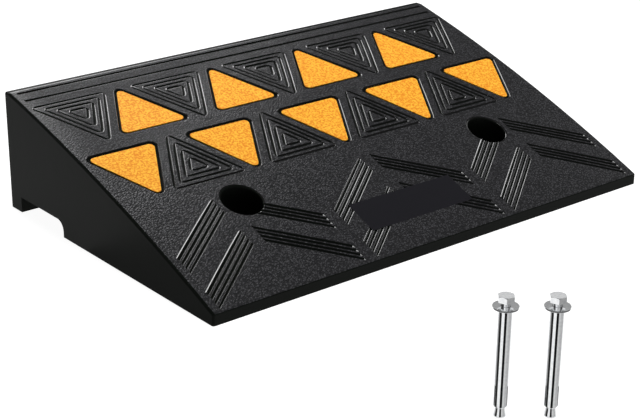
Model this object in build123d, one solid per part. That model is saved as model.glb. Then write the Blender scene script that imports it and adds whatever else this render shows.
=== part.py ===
from build123d import *
import os
from math import asin, atan2, cos, degrees, hypot, radians, sin, tan

# Rubber kerb ramp with reflective triangles and its two loose sleeve anchors.
# Millimetres. X runs along the kerb, the kerb face is the plane Y = 0, the toe
# is at negative Y, and the ramp stands on Z = 0.

# Ramp moulding
ramp_length = 580.0
ramp_width = 368.0
ramp_height = 129.0
toe_height = 12.0
top_strip = 10.0
crown_rise = 8.0
edge_round = 2.5

# Drain channel that runs under the kerb side
drain_foot = 22.3
drain_width = 84.9
drain_height = 17.1
drain_corner = 11.0
drain_wall = 20.0

# Cored underside
skin = 22.0
rib = 13.0
cell_length = 47.0
cell_width = 49.0
cell_columns = 9
cell_rows = 3

# Moulded grooves, a flat-bottomed V in section
groove_width = 3.2
groove_depth = 1.0
groove_floor = 0.4

# Triangle motif, shared by the reflector pockets and the nested grooves
triangle_height = 88.0
triangle_corner = 5.0
triangle_gap = 9.8
ring_pitch = 6.5
ring_count = 4
ring_corner_flats = 3
plate_corner_flats = 5
row_total = 9
row_end = 3.5
row_shift = 3.5
row_gap = 5.0
row_from_crease = 26.3

# Reflectors glued into their pockets
pocket_depth = 2.2
pocket_wall_angle = 43.0
pocket_corner = 7.0
reflector_gap = 2.6
reflector_thickness = 1.5
reflector_corner = 5.0

# Chevron tread towards the toe
chevron_count = 3
chevron_end = 10.5
chevron_half_gap = 7.0
chevron_angle = 37.0
chevron_step = 6.5
chevron_grooves = 4
chevron_rows = (141.0, 91.5)

# Long grooves below the kerb edge, and the bare pad near the toe
long_grooves_from_crease = (4.7, 20.2)
long_groove_end = 8.0
pad_length = 138.0
pad_width = 42.0
pad_middle = 57.0
pad_clearance = 3.0

# Bolt holes
hole_spacing = 339.0
hole_from_toe = 117.0
counterbore = 42.0
bolt_shoulder = 20.0
hole_clearance = 1.0

# Sleeve anchors, standing loose in front of the toe
anchor_places = ((-199.7, -644.5), (-167.0, -670.3))
bolt_diameter = 8.0
bolt_play = 0.9
bolt_rise = 4.0
bolt_end = 2.0
head_flats = 13.0
head_height = 5.3
head_sides = 6
head_chamfer_angle = 30.0
head_turn = 49.0
washer_diameter = 22.0
washer_thickness = 1.6
washer_clearance = 0.2
sleeve_wall = 1.1
sleeve_foot = 8.6
sleeve_length = 89.6
sleeve_end_taper = 0.7
sleeve_end_height = 1.6
slit_count = 3
slit_width = 1.4
slit_length = 20.0
slit_turn = -72.0
cone_inset = 0.5
cone_clearance = 0.2
cone_neck_foot = 6.2
cone_height = 12.6
thread_clearance = 0.08

# How the tread is cut: cutters start above the face, and each has to take its share
cut_above = 0.5
cut_share = 0.15
group_share = 0.999
cut_nudges = (0.0, 0.01, -0.01, 0.02, -0.02)

# The sloping face is one shallow arc from the toe up to the flat strip
slope_run = ramp_width - top_strip
slope_rise = ramp_height - toe_height
slope_chord = hypot(slope_run, slope_rise)
slope_radius = slope_chord**2 / (8 * crown_rise) + crown_rise / 2
half_sweep = asin(slope_chord / 2 / slope_radius)
toe_angle = atan2(slope_rise, slope_run) + half_sweep
slope_length = 2 * half_sweep * slope_radius

# Two rows of triangles fill the length, apex against base
row_half = triangle_height / 2 - row_shift
row_reach = triangle_height - row_half
shared_width = row_reach / triangle_height
row_length = ramp_length - 2 * row_end
triangle_base = (row_length - (row_total - 1) * triangle_gap) / ((row_total - 1) * shared_width + 1)
triangle_step = triangle_base * shared_width + triangle_gap
upper_row = slope_length - row_from_crease - row_reach
lower_row = upper_row - 2 * row_reach - row_gap

# Chevrons fill the length too, with one gap at their peaks and valleys
chevron_pitch = (ramp_length - 2 * chevron_end + 2 * chevron_half_gap) / chevron_count
chevron_reach = chevron_pitch / 2 - chevron_half_gap

# Anchor diameters follow from the bolt
sleeve_inner = bolt_diameter / 2 + bolt_play
sleeve_outer = sleeve_inner + sleeve_wall
hole_radius = sleeve_outer + hole_clearance
hole_y = hole_from_toe - ramp_width

# Sloping walls are measured from the upright, and widen a cutter above the face
groove_wall_angle = degrees(atan2((groove_width - groove_floor) / 2, groove_depth))
groove_spread = cut_above * tan(radians(groove_wall_angle))
pocket_spread = cut_above * tan(radians(pocket_wall_angle))

os.makedirs("parts", exist_ok=True)


def slope_point(along, below=0.0):
    """Point in the YZ plane, a distance up the slope from the toe and below its face."""
    angle = toe_angle - along / slope_radius
    outward = slope_radius - below
    centre_y = -ramp_width + slope_radius * sin(toe_angle)
    centre_z = toe_height - slope_radius * cos(toe_angle)
    return (centre_y - outward * sin(angle), centre_z + outward * cos(angle))


def slope_plane(along, below=0.0):
    """Plane that touches the slope there, local Y up the slope and local Z outwards."""
    angle = toe_angle - along / slope_radius
    y, z = slope_point(along, below)
    return Plane(origin=(0, y, z), x_dir=(1, 0, 0), z_dir=(0, -sin(angle), cos(angle)))


def row_plane(along, half_span):
    """Slope plane sunk so that a flat pattern keeps nearly one depth over its span."""
    return slope_plane(along, half_span**2 / (4 * slope_radius))


def along_x(profile, length):
    """Solid with a YZ profile, centred on X = 0."""
    return extrude(Plane.YZ * profile, amount=length / 2, both=True)


# Moulded wedge

def wedge_profile():
    """Side view of the ramp with the drain channel at its foot."""
    drain_back = -drain_foot
    drain_front = drain_back - drain_width
    crease = (-top_strip, ramp_height)
    toe_edge = (-ramp_width, toe_height)
    bend = drain_corner * (1 - cos(radians(45)))
    outline = [
        Line((0, 0), (0, ramp_height)),
        Line((0, ramp_height), crease),
        ThreePointArc(crease, slope_point(slope_length / 2), toe_edge),
        Line(toe_edge, (-ramp_width, 0)),
        Line((-ramp_width, 0), (drain_front, 0)),
        Line((drain_front, 0), (drain_front, drain_height - drain_corner)),
        ThreePointArc(
            (drain_front, drain_height - drain_corner),
            (drain_front + bend, drain_height - bend),
            (drain_front + drain_corner, drain_height),
        ),
        Line((drain_front + drain_corner, drain_height), (drain_back, drain_height)),
        Line((drain_back, drain_height), (drain_back, 0)),
        Line((drain_back, 0), (0, 0)),
    ]
    return make_face(outline)


def rounded_wedge():
    """Wedge with its top, side and toe edges rounded as the mould leaves them."""
    wedge = along_x(wedge_profile(), ramp_length)
    tiny = 0.01
    chosen = []
    for edge in wedge.edges():
        middle = edge.center(CenterOf.BOUNDING_BOX)
        at_side = abs(abs(middle.X) - ramp_length / 2) < tiny
        at_kerb = abs(middle.Y) < tiny
        at_toe = abs(middle.Y + ramp_width) < tiny
        raised = edge.bounding_box().max.Z > drain_height + tiny
        on_kerb_top = at_kerb and abs(middle.Z - ramp_height) < tiny
        on_toe_top = at_toe and abs(middle.Z - toe_height) < tiny
        upright = at_side and (at_kerb or at_toe)
        if (at_side and raised) or upright or on_kerb_top or on_toe_top:
            chosen.append(edge)
    return fillet(chosen, edge_round)


def underside_cells():
    """Cores of the ribbed underside, closed at a constant skin below the slope."""
    below_floor = -1.0
    start = slope_point(0, skin)
    end = slope_point(slope_length, skin)
    roof = make_face([
        ThreePointArc(start, slope_point(slope_length / 2, skin), end),
        Line(end, (end[0], below_floor)),
        Line((end[0], below_floor), (start[0], below_floor)),
        Line((start[0], below_floor), start),
    ])
    under_skin = along_x(roof, ramp_length)
    back = -drain_foot - drain_width - drain_wall
    boss = (counterbore + cell_length) / 2
    cells = []
    for column in range(cell_columns):
        x = (column - (cell_columns - 1) / 2) * (cell_length + rib)
        for row in range(cell_rows):
            y = back - cell_width / 2 - row * (cell_width + rib)
            if abs(abs(x) - hole_spacing / 2) < boss and abs(y - hole_y) < boss:
                continue
            outline = Pos(x, y, below_floor) * Rectangle(cell_length, cell_width)
            cells.append(extrude(outline, amount=ramp_height) & under_skin)
    return cells


def bolt_holes():
    """Counterbored holes, one at each end of the tread."""
    upwards = (Align.CENTER, Align.CENTER, Align.MIN)
    cuts = []
    for side in (-1, 1):
        place = Pos(side * hole_spacing / 2, hole_y, 0)
        cuts.append(place * Cylinder(hole_radius, ramp_height, align=upwards))
        cuts.append(place * Pos(0, 0, bolt_shoulder) * Cylinder(counterbore / 2, ramp_height, align=upwards))
    return cuts


# Tread pattern: every cut is laid out flat and set on the slope

def triangle_corners(inset):
    """Sharp corners of the motif, drawn in by an inset, with the apex up."""
    side = hypot(triangle_base / 2, triangle_height)
    inner_radius = triangle_base * triangle_height / (triangle_base + 2 * side)
    scale = (inner_radius - inset) / inner_radius
    half = triangle_base / 2 * scale
    base = inset - row_half
    return [Vector(-half, base), Vector(half, base), Vector(0, base + triangle_height * scale)]


def turned_face(points, points_up):
    """Face through points, turned half round when the motif's apex points down."""
    turn = 0 if points_up else 180
    return Rot(0, 0, turn) * make_face(Polyline(*points, close=True))


def blunt_triangle(inset, corner, flats, points_up):
    """Motif drawn in by an inset, with its corners rounded in flats."""
    sharp = triangle_corners(inset)
    points = []
    for number, at in enumerate(sharp):
        to_last = (sharp[number - 1] - at).normalized()
        to_next = (sharp[(number + 1) % len(sharp)] - at).normalized()
        half_angle = to_last.get_angle(to_next) / 2
        centre = at + (to_last + to_next).normalized() * (corner / sin(radians(half_angle)))
        start = at + to_last * (corner / tan(radians(half_angle)))
        step = (180 - 2 * half_angle) / flats
        for flat in range(flats + 1):
            points.append(centre + (start - centre).rotate(Axis.Z, flat * step))
    return turned_face(points, points_up)


def sunk(outline, depth, taper):
    """Tapered cutter from above the slope down to a depth, for an outline drawn at its top."""
    return extrude(Pos(0, 0, cut_above) * outline, amount=-(cut_above + depth), taper=taper)


def triangle_ring(inset, points_up):
    """One V groove that runs round a triangle, rounded outside and sharp inside."""
    corner = triangle_corner + groove_spread
    outer = blunt_triangle(inset - groove_spread, corner, ring_corner_flats, points_up)
    inner = turned_face(triangle_corners(inset + groove_width + groove_spread), points_up)
    return sunk(outer, groove_depth, groove_wall_angle) - sunk(inner, groove_depth, -groove_wall_angle)


def reflector_pocket(points_up):
    """Flat-floored pocket with sloping walls."""
    mouth = blunt_triangle(-pocket_spread, pocket_corner + pocket_spread, plate_corner_flats, points_up)
    return sunk(mouth, pocket_depth, pocket_wall_angle)


def straight_groove(start, end):
    """V groove between two points of a flat frame, its ends cut square to X."""
    (x0, y0), (x1, y1) = start, end
    rise = (y1 - y0) / (x1 - x0)
    half = (groove_width / 2 + groove_spread) * hypot(1, rise)
    x0 -= groove_spread
    x1 += groove_spread
    y0 -= groove_spread * rise
    y1 += groove_spread * rise
    corners = ((x0, y0 - half), (x1, y1 - half), (x1, y1 + half), (x0, y0 + half))
    return sunk(make_face(Polyline(*corners, close=True)), groove_depth, groove_wall_angle)


def motif_places():
    """Middle of each triangle in a row, from left to right."""
    return [(place - (row_total - 1) / 2) * triangle_step for place in range(row_total)]


def row_cuts(shapes_by_turn, wanted):
    """One shape set in both rows at the places that hold a reflector, or at those that don't."""
    cuts = []
    for along, reflector_up in ((upper_row, True), (lower_row, False)):
        plane = row_plane(along, triangle_height / 2)
        for number, x in enumerate(motif_places()):
            points_up = number % 2 == 1
            if (points_up == reflector_up) == wanted:
                cuts.append(plane * Pos(x, 0, 0) * shapes_by_turn[points_up])
    return cuts


def triangle_cuts():
    """Reflector pockets first, then the nested grooves ring by ring."""
    turns = (False, True)
    groups = [row_cuts({up: reflector_pocket(up) for up in turns}, True)]
    for ring in range(ring_count):
        rings = {up: triangle_ring(ring * ring_pitch, up) for up in turns}
        groups.append(row_cuts(rings, False))
    return groups


def chevron_cuts():
    """Two rows of chevrons, each arm a band of parallel V grooves, kept off the bare pad."""
    groups = []
    fall = tan(radians(chevron_angle))
    drop = fall * (chevron_reach - chevron_half_gap) + chevron_step * (chevron_grooves - 1)
    pad = Rectangle(pad_length, pad_width)
    pad_block = slope_plane(pad_middle) * extrude(pad, amount=pad_clearance, both=True)
    for top in chevron_rows:
        middle = top - fall * chevron_half_gap - drop / 2
        plane = row_plane(middle, drop / 2)
        for number in range(chevron_count):
            centre = (number - (chevron_count - 1) / 2) * chevron_pitch
            cuts = []
            for side in (-1, 1):
                for groove in range(chevron_grooves):
                    level = top - middle - groove * chevron_step
                    ends = [(centre + side * x, level - fall * x) for x in (chevron_half_gap, chevron_reach)]
                    cut = plane * straight_groove(*sorted(ends)) - pad_block
                    cuts += cut.solids()
            groups.append(cuts)
    return groups


def long_groove_cuts():
    """Straight grooves along the kerb edge."""
    half = ramp_length / 2 - long_groove_end
    places = [slope_length - below for below in long_grooves_from_crease]
    return [slope_plane(along) * straight_groove((-half, 0), (half, 0)) for along in places]


def seated(cut, plain):
    """The cut and what it takes off the plain wedge, nudged along X where it meets the slope badly."""
    for nudge in cut_nudges:
        tool = Pos(nudge, 0, 0) * cut
        taken = plain.volume - (plain - tool).volume
        if taken > cut_share * cut.volume:
            return tool, taken
    raise ValueError("a tread cut was lost")


def carve(body, group, plain):
    """Body with a group of cuts made together, or one by one where that loses any of them."""
    found = [seated(cut, plain) for cut in group]
    tools = [tool for tool, taken in found]
    carved = body - tools
    if body.volume - carved.volume < group_share * sum(taken for tool, taken in found):
        carved = body
        for tool in tools:
            carved = carved - tool
    return carved


def ramp_body():
    plain = rounded_wedge() - bolt_holes()
    body = plain - underside_cells()
    for group in triangle_cuts() + [long_groove_cuts()] + chevron_cuts():
        body = carve(body, group, plain)
    return body


# Reflectors

def reflector(along, x, points_up):
    """Flat film plate that sits on its pocket's floor."""
    outline = blunt_triangle(reflector_gap, reflector_corner, plate_corner_flats, points_up)
    plate = extrude(outline, amount=reflector_thickness)
    return row_plane(along, triangle_height / 2) * Pos(x, 0, -pocket_depth) * plate


# Sleeve anchors, each modelled upright on its own axis

sleeve_top = sleeve_foot + sleeve_length
washer_top = sleeve_top + washer_thickness
head_foot = washer_top + bolt_rise


def turned(points):
    """Solid of revolution about Z from radius and height pairs."""
    corners = [(radius, 0, height) for radius, height in points]
    return revolve(make_face(Polyline(*corners, close=True)), Axis.Z)


def split_sleeve():
    """Rolled sleeve with a tapered end and slits that let it spread."""
    body = turned([
        (sleeve_inner, sleeve_top),
        (sleeve_inner, sleeve_foot),
        (sleeve_outer - sleeve_end_taper, sleeve_foot),
        (sleeve_outer, sleeve_foot + sleeve_end_height),
        (sleeve_outer, sleeve_top),
    ])
    reach = 2 * sleeve_outer
    slit = Pos(reach / 2, 0, sleeve_foot) * Box(reach, slit_width, 2 * slit_length)
    turns = [slit_turn + number * 360 / slit_count for number in range(slit_count)]
    return body - [Rot(0, 0, turn) * slit for turn in turns]


def flat_washer():
    hole = bolt_diameter / 2 + washer_clearance
    rim = washer_diameter / 2
    return turned([(hole, sleeve_top), (rim, sleeve_top), (rim, washer_top), (hole, washer_top)])


def hex_bolt():
    """Hexagon head with a chamfered crown on a plain shank."""
    head_top = head_foot + head_height
    crown = head_flats / 2
    corner = crown / cos(radians(180 / head_sides))
    fall = (corner - crown) * tan(radians(head_chamfer_angle))
    hexagon = RegularPolygon(crown, head_sides, major_radius=False, rotation=head_turn)
    head = extrude(Pos(0, 0, head_foot) * hexagon, amount=head_height)
    crown_limit = turned([
        (0, head_foot),
        (corner, head_foot),
        (corner, head_top - fall),
        (crown, head_top),
        (0, head_top),
    ])
    shank_radius = bolt_diameter / 2
    shank = turned([(0, bolt_end), (shank_radius, bolt_end), (shank_radius, head_foot), (0, head_foot)])
    return (head & crown_limit) + shank


def cone_nut():
    """Flared nut on the bolt's end, drawn into the sleeve as the bolt turns."""
    bore = bolt_diameter / 2 + thread_clearance
    foot = sleeve_outer - cone_inset
    neck = sleeve_inner - cone_clearance
    return turned([(bore, 0), (foot, 0), (neck, cone_neck_foot), (neck, cone_height), (bore, cone_height)])


def save(shape, name):
    shape.label = name
    export_step(shape, os.path.join("parts", name + ".step"))


save(ramp_body(), "ramp_body")
for name, along, first in (("upper", upper_row, 1), ("lower", lower_row, 0)):
    for number, x in enumerate(motif_places()[first::2], 1):
        save(reflector(along, x, name == "upper"), f"reflector_{name}_{number}")
for number, (x, y) in enumerate(anchor_places, 1):
    place = Pos(x, y, 0)
    save(place * split_sleeve(), f"split_sleeve_{number}")
    save(place * flat_washer(), f"flat_washer_{number}")
    save(place * hex_bolt(), f"hex_bolt_{number}")
    save(place * cone_nut(), f"cone_nut_{number}")
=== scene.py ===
from math import atan2, cos, radians, sin, tan

import bmesh
import bpy
from mathutils import Matrix, Vector


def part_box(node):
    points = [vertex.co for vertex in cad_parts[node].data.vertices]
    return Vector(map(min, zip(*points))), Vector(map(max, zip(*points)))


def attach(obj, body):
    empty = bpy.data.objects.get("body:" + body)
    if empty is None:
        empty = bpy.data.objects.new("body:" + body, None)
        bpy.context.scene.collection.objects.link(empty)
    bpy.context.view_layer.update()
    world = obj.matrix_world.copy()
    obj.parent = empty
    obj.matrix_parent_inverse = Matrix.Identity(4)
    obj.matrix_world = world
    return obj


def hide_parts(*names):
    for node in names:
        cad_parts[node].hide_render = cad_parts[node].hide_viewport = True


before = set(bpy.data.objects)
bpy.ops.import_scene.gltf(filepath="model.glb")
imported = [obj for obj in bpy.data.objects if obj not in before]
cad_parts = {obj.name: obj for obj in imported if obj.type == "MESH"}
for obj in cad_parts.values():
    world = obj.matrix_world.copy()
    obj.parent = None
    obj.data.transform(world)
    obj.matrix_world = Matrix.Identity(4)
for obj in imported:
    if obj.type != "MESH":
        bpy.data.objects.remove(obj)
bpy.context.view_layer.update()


# Ramp body: one compression-moulded black rubber wedge, convex on its sloping face.
# The tread is moulded with it: long grooves, nested triangles, chevrons and pockets
# for the reflectors. It lies loose on the road until the anchors hold it down.

MM = 0.001
merge_distance = 0.002 * MM


def merged_copy(node):
    """A CAD node's mesh as a bmesh with its loose triangles joined."""
    bm = bmesh.new()
    bm.from_mesh(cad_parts[node].data)
    bmesh.ops.remove_doubles(bm, verts=bm.verts, dist=merge_distance)
    return bm


def round_edges(bm, edges, offset, segments, clamp):
    """Round edges over, and give back what the bevel made."""
    return bmesh.ops.bevel(bm, geom=edges, offset=offset, offset_type="OFFSET", segments=segments,
                           profile=0.5, affect="EDGES", clamp_overlap=clamp, material=-1)


ramp_low, ramp_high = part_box("ramp_body")
toe_height = 12 * MM
top_strip = 10 * MM
crown_rise = 8 * MM
toe_edge = Vector((0, ramp_low.y, toe_height))
crease = Vector((0, ramp_high.y - top_strip, ramp_high.z))
chord = crease - toe_edge
slope_radius = chord.length**2 / (8 * crown_rise) + crown_rise / 2
slope_out = Vector((0, -chord.z, chord.y)).normalized()
slope_centre = (toe_edge + crease) / 2 - slope_out * (slope_radius - crown_rise)


def radial(place):
    """Direction from the slope's axis out to a place, square to X."""
    return Vector((0, place.y - slope_centre.y, place.z - slope_centre.z))


def over_slope(place):
    """Height of a place above the sloping face."""
    return radial(place).length - slope_radius


toe_turn = atan2(radial(toe_edge).z, radial(toe_edge).y)
crease_turn = atan2(radial(crease).z, radial(crease).y)


def up_slope(place):
    """Distance of a place from the toe, along the arc."""
    return (toe_turn - atan2(radial(place).z, radial(place).y)) * slope_radius


skin_tolerance = 0.3 * MM
land_facing = 0.99


def on_land(face):
    """True for a face of the sloping skin itself, between the grooves."""
    if any(abs(over_slope(v.co)) > skin_tolerance for v in face.verts):
        return False
    return face.normal.dot(radial(face.calc_center_median()).normalized()) > land_facing


def at_land_edge(edge):
    """True where the land meets a face that isn't land."""
    return len(edge.link_faces) == 2 and sum(on_land(f) for f in edge.link_faces) == 1


# The CAD's inner lines are taken out of the land and of the flat faces
land_bend = radians(2)
flat_bend = radians(0.05)
flat_limit = radians(0.1)
ramp = merged_copy("ramp_body")
ramp.normal_update()
land = {f for f in ramp.faces if on_land(f)}
inner = [e for e in ramp.edges if len(e.link_faces) == 2 and all(f in land for f in e.link_faces)]
bmesh.ops.dissolve_limit(ramp, angle_limit=land_bend, edges=inner, verts=[])
flat = [e for e in ramp.edges if len(e.link_faces) == 2 and e.calc_face_angle() < flat_bend]
bmesh.ops.dissolve_limit(ramp, angle_limit=flat_limit, edges=flat, verts=[])

# The recesses' rims and the toe's top edge are rounded
hole_radius = 21 * MM
hole_spacing = 339 * MM
hole_line = -251 * MM
hole_rim = 2.2 * MM
hole_places = [Vector((side * hole_spacing / 2, hole_line)) for side in (-1, 1)]
toe_round = 2 * MM
line_tolerance = 0.1 * MM


def at_recess(edge):
    """True for an edge on the circle of an anchor's recess."""
    return any(all(abs((v.co.xy - place).length - hole_radius) < skin_tolerance for v in edge.verts)
               for place in hole_places)


def lies_along(edge, line):
    """True for an edge on the line that runs along the ramp's length through a place."""
    return all((v.co - line).yz.length < line_tolerance for v in edge.verts)


ramp.normal_update()
recess_rims = [e for e in ramp.edges if at_land_edge(e) and at_recess(e)]
round_edges(ramp, recess_rims, hole_rim, segments=4, clamp=False)
toe_line = [e for e in ramp.edges if lies_along(e, toe_edge)]
round_edges(ramp, toe_line, toe_round, segments=3, clamp=False)

# The land is cut into strips, round the pad and beside the chevrons' peaks, and set on the arc
slope_cuts = 16
cut_tolerance = 0.01 * MM
pad_half_length = 69 * MM
pad_low = 36 * MM
pad_high = 78 * MM
chevron_pitch = 191 * MM
chevron_end = 9.5 * MM


def cut_land(place, across):
    """Divide the land's faces along a plane."""
    faces = [f for f in ramp.faces if on_land(f)]
    edges = dict.fromkeys(e for f in faces for e in f.edges)
    verts = dict.fromkeys(v for f in faces for v in f.verts)
    bmesh.ops.bisect_plane(ramp, geom=[*verts, *edges, *faces], dist=cut_tolerance, plane_co=place,
                           plane_no=across)


turns = [toe_turn + (crease_turn - toe_turn) * step / slope_cuts for step in range(1, slope_cuts)]
turns += [toe_turn - along / slope_radius for along in (pad_low, pad_high)]
for turn in turns:
    cut_land(slope_centre, Vector((0, -sin(turn), cos(turn))))
stations = [-pad_half_length, pad_half_length]
stations += [peak - chevron_end for peak in (-chevron_pitch, 0, chevron_pitch)]
for station in stations:
    cut_land(Vector((station, 0, 0)), Vector((1, 0, 0)))
ramp.normal_update()
for face in [f for f in ramp.faces if on_land(f)]:
    for vert in face.verts:
        out = radial(vert.co)
        vert.co += out.normalized() * (slope_radius - out.length)
        vert.co.z = min(vert.co.z, ramp_high.z)

# The grooves' lips are rounded
lip_round = 0.28 * MM
lip_angle = radians(25)
ramp.normal_update()
lips = [e for e in ramp.edges if at_land_edge(e) and e.is_convex and e.calc_face_angle() > lip_angle]
rounded = round_edges(ramp, lips, lip_round, segments=2, clamp=False)

# Low rims are raised on the lips that have their groove on the right, with a wider foot on the brightest
crest_low = -0.29 * lip_round
crest_high = -0.067 * lip_round
foot_low = -0.044 * lip_round
wall_high = -0.4 * lip_round
groove_right = 0.3
groove_back = 0.1
chevron_fall = tan(radians(37))
first_rims = (143 * MM, 93.5 * MM)
first_tolerance = 1.2 * MM
rim_rise = 0.175 * MM
left_rim_rise = 0.69 * MM
left_rim_foot = 0.9 * MM
first_rim_rise = 0.6 * MM
first_rim_foot = 0.4 * MM
nest_start = 150 * MM
nest_pitch = 120 * MM
nest_line = -130 * MM
tip_rise = 0.55 * MM
tip_foot = 0.5 * MM
tip_start = 2 * MM


def at_bright_tip(place):
    """True where a nest's tips catch the light: on its left in the upper row, on its right in the lower."""
    upper = place.y > nest_line
    off = (place.x + (nest_pitch / 2 if upper else 0)) % nest_pitch - nest_pitch / 2
    return up_slope(place) > nest_start and (off < -tip_start if upper else off > tip_start)


def on_first_rim(place):
    """True beside the first groove of a chevron's arm, the one nearest to the kerb."""
    peak = chevron_pitch * round(place.x / chevron_pitch)
    level = up_slope(place) + chevron_fall * abs(place.x - peak)
    return any(abs(level - rim) < first_tolerance for rim in first_rims)


def rim_size(place):
    """Rise of the rim at a place, and the width that its foot gains."""
    if on_first_rim(place):
        if place.x < -chevron_pitch / 2:
            return left_rim_rise, left_rim_foot
        return first_rim_rise, first_rim_foot
    if place.y > nest_line and at_bright_tip(place):
        return tip_rise, tip_foot
    return rim_rise, 0


beads = []
for vert in rounded["verts"]:
    if not crest_low < over_slope(vert.co) < crest_high:
        continue
    near = [e.other_vert(vert) for e in vert.link_edges]
    feet = [v for v in near if over_slope(v.co) > foot_low]
    walls = [v for v in near if over_slope(v.co) < wall_high]
    if not feet or not walls:
        continue
    inward = (walls[0].co - feet[0].co).xy.normalized()
    if inward.x < groove_right or inward.y > groove_back:
        continue
    beads.append((vert, feet[0], inward.to_3d(), *rim_size(vert.co)))
for vert, foot, inward, rise, spread in beads:
    vert.co += radial(vert.co).normalized() * rise
    foot.co -= inward * spread
bright_beads = {vert for vert, foot, inward, rise, spread in beads if spread}

# The grooves' walls are divided by depth, and each face gets its rubber: the dull side rubber on deep walls
# and floors is painted shade, and the glossy rubbers on lips, upper walls, tips, first rims and arm ends
# are painted highlights
edge_round = 2.5 * MM
tread_depth = 3 * MM
wall_rise = 0.5 * MM
wall_cuts = 5
arm_end = 60 * MM
chevron_shade = 0.22 * MM
nest_shade = 0.45 * MM
tip_shade = 0.75 * MM
tread_facing = 0.3
left_facing = -0.1
tip_facing = -0.2
end_facing = -0.3
end_tilt = 0.15
back_facing = -0.1
smooth_bend = radians(30)
side_and_shade_slot, tread_slot, groove_highlight_slot, pad_slot, rim_highlight_slot, strip_slot = range(6)


def rubber_slot(face):
    """Material slot of a face of the ramp, from its place and the way it faces; deep groove faces get
    painted shade, and faces that catch the light get painted highlights.
    """
    middle = face.calc_center_median()
    height = over_slope(middle)
    along = up_slope(middle)
    inside_ends = abs(middle.x) < ramp_high.x - edge_round
    in_tread = -tread_depth < height and inside_ends and face.normal.z > tread_facing
    in_chevrons = along < nest_start
    past_peak = (middle.x + chevron_pitch / 2) % chevron_pitch - chevron_pitch / 2
    uphill = Vector((0, radial(middle).z, -radial(middle).y)).normalized()
    at_arm_end = in_tread and in_chevrons and past_peak > arm_end
    # Left-facing ends of the falling arms get the glossiest rubber, a painted highlight
    if at_arm_end and face.normal.x < end_facing and abs(face.normal.dot(uphill)) < end_tilt:
        return rim_highlight_slot
    faces_back = face.normal.y > back_facing
    # Left-facing faces of the brightest rims get the glossiest rubber, a painted highlight
    if bright_beads.intersection(face.verts) and face.normal.x < left_facing and faces_back:
        return rim_highlight_slot
    # Tip faces turned to the light get glossy rubber, a painted highlight
    at_tip = in_tread and height > -tip_shade and at_bright_tip(middle)
    if at_tip and face.normal.x < tip_facing and faces_back:
        return groove_highlight_slot
    # Faces off the tread keep the side rubber, and deep groove faces get it as painted shade
    in_left_chevron = in_chevrons and middle.x < -chevron_pitch / 2
    if not in_tread or height < -(chevron_shade if in_left_chevron else nest_shade):
        return side_and_shade_slot
    if middle.y > crease.y:
        return strip_slot
    if on_land(face) or middle.y < toe_edge.y + toe_round:
        on_pad = abs(middle.x) < pad_half_length and pad_low < along < pad_high
        return pad_slot if on_pad else tread_slot
    # Lips and upper groove walls get glossy rubber, a painted highlight
    return groove_highlight_slot


def on_wall(edge):
    """True for an edge that runs down a groove's wall."""
    heights = [over_slope(v.co) for v in edge.verts]
    return min(heights) > -tread_depth and max(heights) - min(heights) > wall_rise


ramp.normal_update()
wall_lines = [e for e in ramp.edges if on_wall(e)]
bmesh.ops.subdivide_edges(ramp, edges=wall_lines, cuts=wall_cuts)
for face in ramp.faces:
    face.smooth = True
    face.material_index = rubber_slot(face)
for edge in ramp.edges:
    within_bend = len(edge.link_faces) == 2 and edge.calc_face_angle() < smooth_bend
    edge.smooth = within_bend and not lies_along(edge, crease)


# The rubbers, one for each finish of the mould; two glossy copies paint highlights on the tread, and the
# side rubber also paints shade in its deep grooves

def shader_of(material):
    """The shader node that makes a material's surface."""
    return material.node_tree.nodes["Principled BSDF"]


def new_material(name, colour, roughness, metallic=0.0, specular=0.5, ior=1.5):
    """Material with its constant values on the shader's own sockets."""
    material = bpy.data.materials.new(name)
    material.use_nodes = True
    sockets = shader_of(material).inputs
    sockets["Base Color"].default_value = (*colour, 1)
    sockets["Roughness"].default_value = roughness
    sockets["Metallic"].default_value = metallic
    sockets["Specular IOR Level"].default_value = specular
    sockets["IOR"].default_value = ior
    return material


def object_noise(material, scale, detail):
    """Noise texture on the piece's own coordinates."""
    nodes, links = material.node_tree.nodes, material.node_tree.links
    place = nodes.new("ShaderNodeTexCoord")
    noise = nodes.new("ShaderNodeTexNoise")
    noise.inputs["Scale"].default_value = scale
    noise.inputs["Detail"].default_value = detail
    links.new(place.outputs["Object"], noise.inputs["Vector"])
    return noise.outputs["Fac"]


def object_cells(material, length, width, turn):
    """Cell texture on the piece's own coordinates, its cells stretched along a direction."""
    nodes, links = material.node_tree.nodes, material.node_tree.links
    place = nodes.new("ShaderNodeTexCoord")
    stretch = nodes.new("ShaderNodeMapping")
    stretch.vector_type = "TEXTURE"
    stretch.inputs["Rotation"].default_value = (0, 0, turn)
    stretch.inputs["Scale"].default_value = (length, width, width)
    cells = nodes.new("ShaderNodeTexVoronoi")
    cells.inputs["Scale"].default_value = 1
    links.new(place.outputs["Object"], stretch.inputs["Vector"])
    links.new(stretch.outputs["Vector"], cells.inputs["Vector"])
    return cells.outputs["Distance"]


def add_bump(material, height, strength, distance):
    """Bump from a height output into the shader's normal."""
    nodes, links = material.node_tree.nodes, material.node_tree.links
    bump = nodes.new("ShaderNodeBump")
    bump.inputs["Strength"].default_value = strength
    bump.inputs["Distance"].default_value = distance
    links.new(height, bump.inputs["Height"])
    links.new(bump.outputs["Normal"], shader_of(material).inputs["Normal"])


def add_tones(material, height, low, high):
    """Base colour that runs from a low tone to a high one, each given as a position and a colour."""
    nodes, links = material.node_tree.nodes, material.node_tree.links
    tones = nodes.new("ShaderNodeValToRGB")
    for element, (position, colour) in zip(tones.color_ramp.elements, (low, high)):
        element.position = position
        element.color = (*colour, 1)
    links.new(height, tones.inputs["Fac"])
    links.new(tones.outputs["Color"], shader_of(material).inputs["Base Color"])


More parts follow.
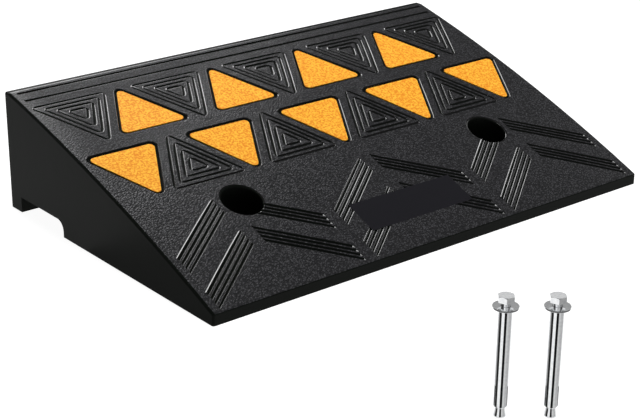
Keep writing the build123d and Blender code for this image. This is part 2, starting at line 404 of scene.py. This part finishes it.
def add_range(material, value, start, end, low, high):
    """Number that runs from low to high while a value runs from start to end."""
    between = material.node_tree.nodes.new("ShaderNodeMapRange")
    for socket, number in (("From Min", start), ("From Max", end), ("To Min", low), ("To Max", high)):
        between.inputs[socket].default_value = number
    material.node_tree.links.new(value, between.inputs["Value"])
    return between.outputs["Result"]


uneven_strength = 0.1


def smooth_rubber(name, colour, roughness, ior, scale, detail, depth, specular=0.5):
    """Rubber from a smooth part of the mould, faintly uneven."""
    rubber = new_material(name, colour, roughness, specular=specular, ior=ior)
    add_bump(rubber, object_noise(rubber, scale, detail), uneven_strength, depth)
    return rubber


def grained_rubber(name, roughness, specular):
    """Rubber from the grained part of the mould: long raised cells, palest in the middle as a painted glint
    on each cell.
    """
    rubber = new_material(name, colour=(0.012, 0.0122, 0.0126), roughness=roughness, specular=specular)
    grain = object_cells(rubber, length=3.3 * MM, width=1.6 * MM, turn=radians(28))
    add_bump(rubber, grain, strength=0.95, distance=-0.52 * MM)
    # The pale middles of the cells are painted glints on the grain
    add_tones(rubber, grain, low=(0.15, (0.057, 0.057, 0.062)), high=(0.5, (0.0132, 0.0132, 0.0144)))
    return rubber


# Colour of the glossy copies that paint highlights on the tread
highlight_rubber_colour = (0.002, 0.002, 0.0022)
tread_roughness = 0.4
dull_roughness = 0.62
edge_roughness = 0.45
# The side rubber is also painted shade on the tread's deep groove faces
side_and_shade_rubber = smooth_rubber("smooth black rubber", colour=(0.004, 0.005, 0.004), roughness=0.5, ior=1.13,
                            scale=60, detail=3, depth=1 * MM)
# Glossy copies of the rubber that paint highlights on lips, tips, rims and groove ends
groove_highlight_rubber = smooth_rubber("groove rubber with painted highlights", highlight_rubber_colour, roughness=0.2, ior=1.6,
                              scale=300, detail=2, depth=0.3 * MM, specular=1.0)
rim_highlight_rubber = smooth_rubber("rim rubber with painted highlights", highlight_rubber_colour, roughness=0.12, ior=2.0,
                           scale=300, detail=2, depth=0.3 * MM, specular=1.0)
pad_rubber = smooth_rubber("bare pad rubber", colour=(0.0105, 0.0102, 0.013), roughness=0.45, ior=1.3,
                           scale=80, detail=2, depth=0.5 * MM)
strip_rubber = grained_rubber("grained strip rubber", roughness=0.3, specular=0.75)
tread_rubber = grained_rubber("grained black rubber", tread_roughness, specular=0.39)

# The tread is duller towards the left end of its kerb edge, less so in a narrow band along its left edge
corner_way = (-0.65, 1, 0)
tread_nodes, tread_links = tread_rubber.node_tree.nodes, tread_rubber.node_tree.links
tread_place = tread_nodes.new("ShaderNodeTexCoord")
to_corner = tread_nodes.new("ShaderNodeVectorMath")
to_corner.operation = "DOT_PRODUCT"
to_corner.inputs[1].default_value = corner_way
tread_links.new(tread_place.outputs["Object"], to_corner.inputs[0])
dulling = add_range(tread_rubber, to_corner.outputs["Value"], start=-40 * MM, end=30 * MM,
                    low=tread_roughness, high=dull_roughness)
lengthways = tread_nodes.new("ShaderNodeSeparateXYZ")
tread_links.new(tread_place.outputs["Object"], lengthways.inputs["Vector"])
edge_band = add_range(tread_rubber, lengthways.outputs["X"], start=-262 * MM, end=-284 * MM,
                      low=dull_roughness, high=edge_roughness)
glossier = tread_nodes.new("ShaderNodeMath")
glossier.operation = "MINIMUM"
tread_links.new(dulling, glossier.inputs[0])
tread_links.new(edge_band, glossier.inputs[1])
tread_links.new(glossier.outputs["Value"], shader_of(tread_rubber).inputs["Roughness"])


def new_object(bm, name, materials):
    """Object at the origin from a bmesh, with its materials in the order of their slots."""
    mesh = bpy.data.meshes.new(name)
    bm.to_mesh(mesh)
    bm.free()
    for material in materials:
        mesh.materials.append(material)
    made = bpy.data.objects.new(name, mesh)
    bpy.context.scene.collection.objects.link(made)
    return made


def new_piece(bm, name, materials, body, node):
    """Object from a bmesh that stands for a CAD node and rides on its body."""
    piece = new_object(bm, name, materials)
    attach(piece, body)
    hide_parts(node)
    return piece


large_face_weight = 90


def shade_evenly(piece):
    """Normals that keep a large face flat and turn in the narrow faces round it."""
    smoother = piece.modifiers.new("even shading", "WEIGHTED_NORMAL")
    smoother.keep_sharp = True
    smoother.weight = large_face_weight


rubbers = [side_and_shade_rubber, tread_rubber, groove_highlight_rubber, pad_rubber, rim_highlight_rubber, strip_rubber]
ramp_piece = new_piece(ramp, "ramp_moulding", rubbers, "ramp", "ramp_body")
shade_evenly(ramp_piece)


# Reflectors: triangles die-cut from orange reflective film on a stiff backing.
# They are glued into the moulded pockets and lie a little below the tread.

film_share = 0.96
film_edge = 0.3 * MM
film_corner = radians(60)
film = new_material("orange reflective film", colour=(0.93, 0.4, 0.035), roughness=0.6, specular=0.3)
mottle = object_noise(film, scale=450, detail=3)
add_bump(film, mottle, strength=0.3, distance=0.4 * MM)
add_tones(film, mottle, low=(0.4, (0.8, 0.24, 0.012)), high=(0.6, (1.0, 0.53, 0.05)))

for node in sorted(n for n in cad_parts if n.startswith("reflector")):
    plate = merged_copy(node)
    low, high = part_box(node)
    to_middle = Matrix.Translation(-(low + high) / 2)
    bmesh.ops.scale(plate, vec=(film_share, film_share, 1), space=to_middle, verts=plate.verts)
    bmesh.ops.dissolve_limit(plate, angle_limit=flat_limit, edges=plate.edges, verts=[])
    plate.normal_update()
    rim = [e for e in plate.edges if e.calc_face_angle() > film_corner]
    round_edges(plate, rim, film_edge, segments=2, clamp=True)
    piece = new_piece(plate, f"{node}_film", [film], "ramp", node)


# Sleeve anchors: turned and rolled steel, bright zinc plated. A hexagon bolt passes
# through a flat washer and a split sleeve into the cone nut that spreads the sleeve.

steel_edge = 0.2 * MM
steel_corner = radians(40)
steel_bend = radians(35)
anchor_bodies = {"split_sleeve": "anchor", "flat_washer": "washer", "hex_bolt": "bolt", "cone_nut": "cone"}
zinc = new_material("bright zinc plate", colour=(0.72, 0.73, 0.74), roughness=0.1, metallic=1.0)
plating = object_noise(zinc, scale=420, detail=3)
add_bump(zinc, plating, strength=0.05, distance=0.2 * MM)
add_tones(zinc, plating, low=(0.3, (0.66, 0.67, 0.69)), high=(0.7, (0.78, 0.79, 0.79)))

for number in (1, 2):
    for node, body in anchor_bodies.items():
        steel = merged_copy(f"{node}_{number}")
        bmesh.ops.dissolve_limit(steel, angle_limit=flat_limit, edges=steel.edges, verts=[])
        steel.normal_update()
        rim = [e for e in steel.edges if e.calc_face_angle() > steel_corner]
        round_edges(steel, rim, steel_edge, segments=2, clamp=True)
        steel.normal_update()
        for face in steel.faces:
            face.smooth = True
        for edge in steel.edges:
            edge.smooth = edge.calc_face_angle() < steel_bend
        piece = new_piece(steel, f"{node}_{number}_steel", [zinc], f"{body}_{number}", f"{node}_{number}")
        shade_evenly(piece)


# Studio: a plain pale floor with cards that show only in reflections, soft light from
# behind, from the right and from above, and the camera at the photograph's angle.

glow_colour = (1, 1, 1, 1)
unit_half = 0.5


def add_glow(material, strength):
    """White light that a surface gives off by itself."""
    sockets = shader_of(material).inputs
    sockets["Emission Color"].default_value = glow_colour
    sockets["Emission Strength"].default_value = strength


def card_paper(name, glow):
    """Paper that shows nothing but its own glow."""
    paper = new_material(name, colour=(0, 0, 0), roughness=1.0, specular=0.0)
    add_glow(paper, glow)
    return paper


def flat_sheet(length, width, place):
    """Rectangle as a bmesh: a unit square that is stretched and then put in its place."""
    bm = bmesh.new()
    stretch = Matrix.Diagonal((length, width, 1, 1))
    bmesh.ops.create_grid(bm, x_segments=1, y_segments=1, size=unit_half, matrix=place @ stretch)
    return bm


def add_card(bm, name, paper):
    """Stage card from a bmesh that is seen only in reflections."""
    card = new_object(bm, name, [paper])
    card.visible_camera = False
    card.visible_diffuse = False
    card.visible_shadow = False


floor_side = 8000 * MM
floor_paper = new_material("white paper floor", colour=(0.25, 0.25, 0.25), roughness=0.9, specular=0.1)
add_glow(floor_paper, strength=0.95)
floor = new_object(flat_sheet(floor_side, floor_side, Matrix()), "floor", [floor_paper])

# Dark sheet on the floor beside the ramp's left end, a painted floor shadow that is seen in the rubber's
# side
sheet_side = 240 * MM
sheet_place = Matrix.Translation(Vector((-410, -270, 0.3)) * MM)
add_card(flat_sheet(sheet_side, sheet_side, sheet_place), "painted floor shadow", card_paper("painted floor shadow", glow=0.5))

# White card above the ramp, seen in the ends of the falling grooves
roof_length = 850 * MM
roof_width = 280 * MM
roof_turn = Matrix.Rotation(radians(-18.4), 4, "Z")
roof_place = Matrix.Translation(Vector((-570, -30, 1800)) * MM) @ roof_turn
roof_paper = card_paper("white card above", glow=2.0)
add_card(flat_sheet(roof_length, roof_width, roof_place), "white card above", roof_paper)

# Cards round each anchor, at rest and lifted: name, radius, first and last turn, bottom, top and glow
camera_side = radians(-137.8)
card_steps = 8
anchor_lift = Vector((0, 0, 120)) * MM
card_places = []
for number in (1, 2):
    low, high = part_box(f"flat_washer_{number}")
    anchor_foot = ((low + high) / 2).xy.to_3d()
    card_places += [anchor_foot, anchor_foot + anchor_lift]
cards = (
    ("black card right", 7.5, -4, 19, 0, 98, 0.01),
    ("black card left", 7.5, -58, -31, 0, 98, 0.02),
    ("grey card left", 7.5, -75, -58, 0, 98, 0.45),
    ("pale card right", 7.5, 19, 38, 0, 98, 0.75),
    ("grey card right", 7.5, 38, 75, 0, 98, 0.58),
    ("grey card at the head", 16, 43, 99, 94, 106, 0.42),
    ("dark card at the washer", 13, -75, 75, 97, 99.5, 0.16),
    ("grey card behind", 30, 120, 240, 100, 118, 0.42),
    ("pale card behind", 30, 120, 240, 118, 140, 0.78),
    ("white card in front", 30, -40, -5, 103, 125, 1.4),
    ("pale card in front", 30, -5, 60, 103, 125, 0.8),
)

for name, radius, first, last, bottom, top, glow in cards:
    paper = card_paper(name, glow)
    start = camera_side + radians(first)
    for place in card_places:
        foot = place + radius * MM * Vector((cos(start), sin(start), 0))
        arc = bmesh.new()
        ends = [arc.verts.new(foot + Vector((0, 0, height * MM))) for height in (bottom, top)]
        upright = arc.edges.new(ends)
        bmesh.ops.spin(arc, geom=[*ends, upright], cent=place, axis=(0, 0, 1), angle=radians(last - first),
                       steps=card_steps, use_merge=False, use_duplicate=False)
        add_card(arc, name, paper)

light_aim = Vector((0, -200, 50)) * MM


def soft_light(name, place, width, height, watts):
    """Rectangular soft light at a place, turned towards the lights' aim in the ramp."""
    light = bpy.data.lights.new(name, "AREA")
    light.shape = "RECTANGLE"
    light.size = width
    light.size_y = height
    light.energy = watts
    lamp = bpy.data.objects.new(name, light)
    bpy.context.scene.collection.objects.link(lamp)
    lamp.location = place
    lamp.rotation_euler = (light_aim - Vector(place)).to_track_quat("-Z", "Y").to_euler()
    return lamp


# Lights, in metres and watts
soft_light("back light", place=(0.35, 1.5, 1.05), width=1.3, height=1.1, watts=20)
soft_light("right fill", place=(2.3, -0.3, 0.6), width=2.5, height=1.0, watts=5)
key_light = soft_light("key light", place=(0.15, -0.5, 2.2), width=0.8, height=0.8, watts=44)
key_light.visible_glossy = False

room_colour = (0.07, 0.07, 0.07, 1)
world = bpy.data.worlds.new("studio")
world.use_nodes = True
room = world.node_tree.nodes["Background"].inputs
room["Color"].default_value = room_colour
room["Strength"].default_value = 1.0
bpy.context.scene.world = world
bpy.context.scene.view_settings.view_transform = "Standard"

# The camera was fitted to the ramp's corners in the photograph; its focus is in pixels
image_width = 640
camera_focus = 1639.855
sensor_width = 36.0
camera_place = Vector((-1066.554, -1462.703, 669.357)) * MM
camera_turn = radians(-39.46)
camera_tilt = radians(22.446)
camera_roll = radians(0.572)
back = Vector((sin(camera_turn) * cos(camera_tilt), -cos(camera_turn) * cos(camera_tilt), sin(camera_tilt)))
level = Vector((0, 0, 1)).cross(back).normalized()
upward = back.cross(level)
right = cos(camera_roll) * level + sin(camera_roll) * upward
up = cos(camera_roll) * upward - sin(camera_roll) * level
lens = bpy.data.cameras.new("camera")
lens.sensor_width = sensor_width
lens.lens = camera_focus * sensor_width / image_width
camera = bpy.data.objects.new("camera", lens)
bpy.context.scene.collection.objects.link(camera)
camera.matrix_world = Matrix((right, up, back)).transposed().to_4x4()
camera.location = camera_place
bpy.context.scene.camera = camera
